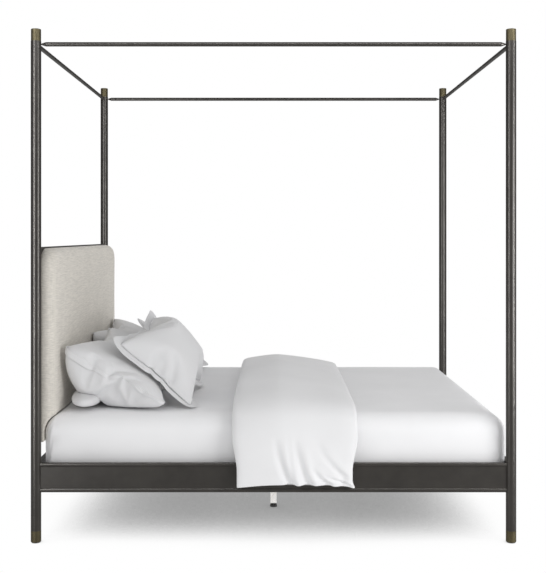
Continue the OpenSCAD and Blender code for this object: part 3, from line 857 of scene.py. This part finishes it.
PILLOW_FLOOR = MATTRESS_TOP + SHEET_GAP + 0.001
PILLOW_BACK = PAD_FRONT + 0.006
UNDER_PILLOW_H = 0.062                           # height of the pillow at the back
UNDER_PILLOW_EDGE = (0.75, 0.83)                 # where its top begins, in metres headwards
PRESS = 0.02                                     # how far off a surface a pillow begins to flatten


def keep_clear(piece, over_pillow):
    """Presses a pillow flat against the mattress, the headboard and a pillow that it lies over."""
    def move(co):
        floor_z = PILLOW_FLOOR
        if over_pillow:
            floor_z += UNDER_PILLOW_H * smooth(*UNDER_PILLOW_EDGE, -co.x)
        if co.z < floor_z + PRESS:
            co.z = floor_z + PRESS * math.exp((co.z - floor_z) / PRESS - 1)
        if co.x < PILLOW_BACK + PRESS:
            co.x = PILLOW_BACK + PRESS * math.exp((co.x - PILLOW_BACK) / PRESS - 1)
        return co
    move_points(piece, move)


# Each pillow's node, cover, how far its sides hang down, its four corners, and how far its front
# and back cloths stand off at the low and the high edge
PILLOWS = [
    dict(node="right_back_pillow", cover="plain", sag=0.0,
         corners=[(-0.785, -0.665, 0.592), (-0.922, -0.660, 0.598),
                  (-0.800, 0.03, 0.595), (-0.930, 0.03, 0.640)],
         front=((0.0, 0.045), (0.0, 0.045)), back=((0.0, -0.065), (0.0, -0.065))),
    dict(node="right_middle_sham", cover="full", sag=0.0,
         corners=[(-0.487, -0.720, 0.583), (-0.938, -0.700, 0.832),
                  (-0.500, 0.02, 0.575), (-0.860, 0.02, 0.850)],
         front=((0.03, 0.05), (0.02, 0.07)), back=((-0.02, -0.10), (-0.10, -0.27))),
    dict(node="right_front_sham", cover="flanged", sag=0.040,
         corners=[(-0.351, -0.660, 0.536), (-0.748, -0.645, 0.870),
                  (-0.364, 0.03, 0.552), (-0.645, 0.05, 0.950)],
         front=((0.11, 0.055), (0.150, 0.165)), back=((0.05, 0.03), (0.03, 0.03))),
    dict(node="left_back_pillow", cover="plain", sag=0.0,
         corners=[(-0.800, 0.08, 0.595), (-0.930, 0.08, 0.640),
                  (-0.800, 0.66, 0.595), (-0.930, 0.66, 0.605)],
         front=((0.0, 0.03), (0.0, 0.03)), back=((0.0, -0.06), (0.0, -0.07))),
    dict(node="left_middle_sham", cover="full", sag=0.0,
         corners=[(-0.500, 0.04, 0.575), (-0.975, 0.01, 0.820),
                  (-0.500, 0.73, 0.575), (-0.965, 0.68, 0.838)],
         front=((0.03, 0.05), (0.05, 0.06)), back=((-0.02, -0.10), (-0.07, -0.22))),
    dict(node="left_front_sham", cover="flanged", sag=0.0,
         corners=[(-0.470, 0.07, 0.553), (-0.735, 0.06, 0.900),
                  (-0.386, 0.745, 0.552), (-0.690, 0.745, 0.840)],
         front=((0.07, 0.04), (0.10, 0.07)), back=((-0.02, -0.02), (0.0, 0.0))),
]

# Length, width, thickness and corner radius of each cover, the pressure that fills it, how blunt
# its edges are (below 1 it is full almost to its seam), how far its sides are let out again, and
# the width and half the thickness of its border
COVERS = {
    "plain": dict(size=(0.27, 0.60, 0.12, 0.06), pressure=2.0, blunt=0.70, widen=0.08, border=None),
    "full": dict(size=(0.50, 0.70, 0.20, 0.03), pressure=3.0, blunt=0.68, widen=0.045,
                 border=(WELT_W, WELT_HALF_T)),
    "flanged": dict(size=(0.42, 0.60, 0.16, 0.02), pressure=3.0, blunt=0.9, widen=0.0,
                    border=(FLANGE_W, FLANGE_HALF_T)),
}


def make_pillows():
    """Fills each kind of cover once, then lays a copy of it at every pillow's place."""
    bodies = {}
    for name, cover in COVERS.items():
        bodies[name] = pillow_body(name + "_cover", *cover["size"], cover["pressure"])
    for seed, row in enumerate(PILLOWS):
        body, edge = bodies[row["cover"]]
        cover = COVERS[row["cover"]]
        piece = body.copy()
        piece.data = body.data.copy()
        piece.name = row["node"] + "_filled"
        bpy.context.scene.collection.objects.link(piece)
        if cover["border"]:
            add_border(piece, edge, *cover["border"], 2.0 + seed)
        lay_down(piece, row, cover)
        keep_clear(piece, over_pillow=row["cover"] == "full")
        add_modifier(piece, "SUBSURF", levels=1, render_levels=1)
        place(piece, "pillow_cotton", row["node"])
    for body, edge in bodies.values():
        bpy.data.objects.remove(body)


# ---------------------------------------------------------------- floor, light and camera

FLOOR_HALF = 14.0

# How bright the floor glows at each share of open sky over it: a painted shadow, darker where the
# bed is over it
FLOOR_PAINTED_SHADOW = [(0.0, 0.20), (0.15, 0.40), (0.30, 0.74), (0.50, 0.97), (0.60, 1.0)]
FLOOR_PAINTED_SHADOW_REACH = 0.8                          # how far off the bed still darkens the floor's painted shadow
FLOOR_BOUNCE = 0.85                              # brightness of the glowing floor as soft light
FLOOR_MIRRORED = 0.42                            # and as a reflection

# Brightness of the studio round the horizon and overhead, and its strength as soft light and as
# a reflection
SKY_LOW = 0.98
SKY_HIGH = 0.60
SKY_LIGHT = 0.9
SKY_MIRRORED = 0.12

# Each lamp's name, place, target, size across and along, power, and whether it lights only by gloss
LAMPS = [
    ("front_softbox", (2.6, -2.7, 1.15), (0.6, 0.0, 0.5), (1.5, 1.5), 40, False),
    ("strip_head", (-2.0, -2.6, 1.3), (-0.9, -0.7, 1.1), (0.20, 3.0), 95, True),
    ("strip_foot", (3.0, -2.2, 1.3), (0.9, -0.7, 1.1), (0.20, 3.0), 95, True),
    ("strip_top", (0.3, -2.2, 3.0), (0.0, -0.8, 1.0), (4.0, 0.4), 60, True),
]

CAMERA_PLACE = (0.0, -4.795, 1.3366)
SENSOR = 36.0                                    # millimetres, along the picture's long side
LENS = 57.506
SHIFT_X = -0.0009
SHIFT_Y = -0.08918


def make_floor():
    """A white floor that glows, with a painted shadow that darkens it softly where the bed would
    keep the light off it.
    """
    around = [(-1, -1), (1, -1), (1, 1), (-1, 1)]
    corners = [(x * FLOOR_HALF, y * FLOOR_HALF, 0.0) for x, y in around]
    floor = mesh_object("studio_floor", corners, [(0, 1, 2, 3)], shade_smooth=False)
    material = bpy.data.materials.new("studio_floor")
    material.use_nodes = True
    tree = material.node_tree
    tree.nodes.clear()
    # Painted shadow: the floor's glow is darkened by how much of the bed is near it, not by any
    # lamp.
    cover = add(tree, "ShaderNodeAmbientOcclusion", Distance=FLOOR_PAINTED_SHADOW_REACH, samples=16)
    painted_shadow = add(tree, "ShaderNodeValToRGB")
    while len(painted_shadow.color_ramp.elements) < len(FLOOR_PAINTED_SHADOW):
        painted_shadow.color_ramp.elements.new(0.5)
    for element, (position, grey) in zip(painted_shadow.color_ramp.elements, FLOOR_PAINTED_SHADOW):
        element.position = position
        element.color = (grey, grey, grey, 1)
    tree.links.new(cover.outputs["AO"], painted_shadow.inputs["Fac"])
    shown = add(tree, "ShaderNodeEmission", Strength=1.0)
    tree.links.new(painted_shadow.outputs["Color"], shown.inputs["Color"])
    bounced = add(tree, "ShaderNodeEmission", Strength=FLOOR_BOUNCE)
    mirrored = add(tree, "ShaderNodeEmission", Strength=FLOOR_MIRRORED)
    surface = by_ray(tree, shown.outputs[0], bounced.outputs[0], mirrored.outputs[0])
    output = add(tree, "ShaderNodeOutputMaterial")
    tree.links.new(surface, output.inputs["Surface"])
    floor.data.materials.append(material)


def by_ray(tree, for_camera, for_light, for_gloss):
    """The first shader to the camera, the third to mirror rays and the second to all others."""
    path = add(tree, "ShaderNodeLightPath")
    inner = add(tree, "ShaderNodeMixShader")
    tree.links.new(path.outputs["Is Glossy Ray"], inner.inputs[0])
    tree.links.new(for_light, inner.inputs[1])
    tree.links.new(for_gloss, inner.inputs[2])
    outer = add(tree, "ShaderNodeMixShader")
    tree.links.new(path.outputs["Is Camera Ray"], outer.inputs[0])
    tree.links.new(inner.outputs[0], outer.inputs[1])
    tree.links.new(for_camera, outer.inputs[2])
    return outer.outputs[0]


def make_world():
    """A white studio: white to the camera, brightest round the horizon, dimmer overhead."""
    world = bpy.data.worlds.new("studio")
    bpy.context.scene.world = world
    world.use_nodes = True
    tree = world.node_tree
    tree.nodes.clear()
    direction = add(tree, "ShaderNodeTexCoord")
    split = add(tree, "ShaderNodeSeparateXYZ")
    tree.links.new(direction.outputs["Generated"], split.inputs["Vector"])
    dome = add(tree, "ShaderNodeValToRGB")
    dome.color_ramp.elements[0].position = 0.0
    dome.color_ramp.elements[0].color = (SKY_LOW, SKY_LOW, SKY_LOW, 1)
    dome.color_ramp.elements[1].position = 1.0
    dome.color_ramp.elements[1].color = (SKY_HIGH, SKY_HIGH, SKY_HIGH, 1)
    tree.links.new(split.outputs["Z"], dome.inputs["Fac"])
    light = add(tree, "ShaderNodeBackground", Strength=SKY_LIGHT)
    tree.links.new(dome.outputs["Color"], light.inputs["Color"])
    gloss = add(tree, "ShaderNodeBackground", Strength=SKY_MIRRORED)
    backdrop = add(tree, "ShaderNodeBackground", Strength=1.0)
    backdrop.inputs["Color"].default_value = (1, 1, 1, 1)
    output = add(tree, "ShaderNodeOutputWorld")
    surface = by_ray(tree, backdrop.outputs[0], light.outputs[0], gloss.outputs[0])
    tree.links.new(surface, output.inputs["Surface"])


def area_light(name, location, target, size, power, only_gloss):
    """A rectangular lamp that the camera doesn't see, aimed at target."""
    data = bpy.data.lights.new(name, "AREA")
    data.shape = "RECTANGLE"
    data.size, data.size_y = size
    data.energy = power
    lamp = bpy.data.objects.new(name, data)
    bpy.context.scene.collection.objects.link(lamp)
    lamp.location = location
    lamp.rotation_euler = (Vector(target) - Vector(location)).to_track_quat("-Z", "Y").to_euler()
    lamp.visible_camera = False
    lamp.visible_diffuse = not only_gloss


def make_lights():
    """A soft lamp in front of the foot end, and three strips that show only as reflections."""
    for row in LAMPS:
        area_light(*row)


def make_camera():
    """A level camera that looks straight across the bed from its right-hand side."""
    data = bpy.data.cameras.new("camera")
    data.sensor_width = SENSOR
    data.lens = LENS
    data.shift_x = SHIFT_X
    data.shift_y = SHIFT_Y
    camera = bpy.data.objects.new("camera", data)
    bpy.context.scene.collection.objects.link(camera)
    camera.location = CAMERA_PLACE
    camera.rotation_euler = (math.radians(90), 0.0, 0.0)
    bpy.context.scene.camera = camera


dress_frame()
make_mattress()
make_fitted_sheet()
make_headboard_pad()
make_duvet()
make_pillows()
make_floor()
make_world()
make_lights()
make_camera()
bpy.context.scene.view_settings.view_transform = "Standard"
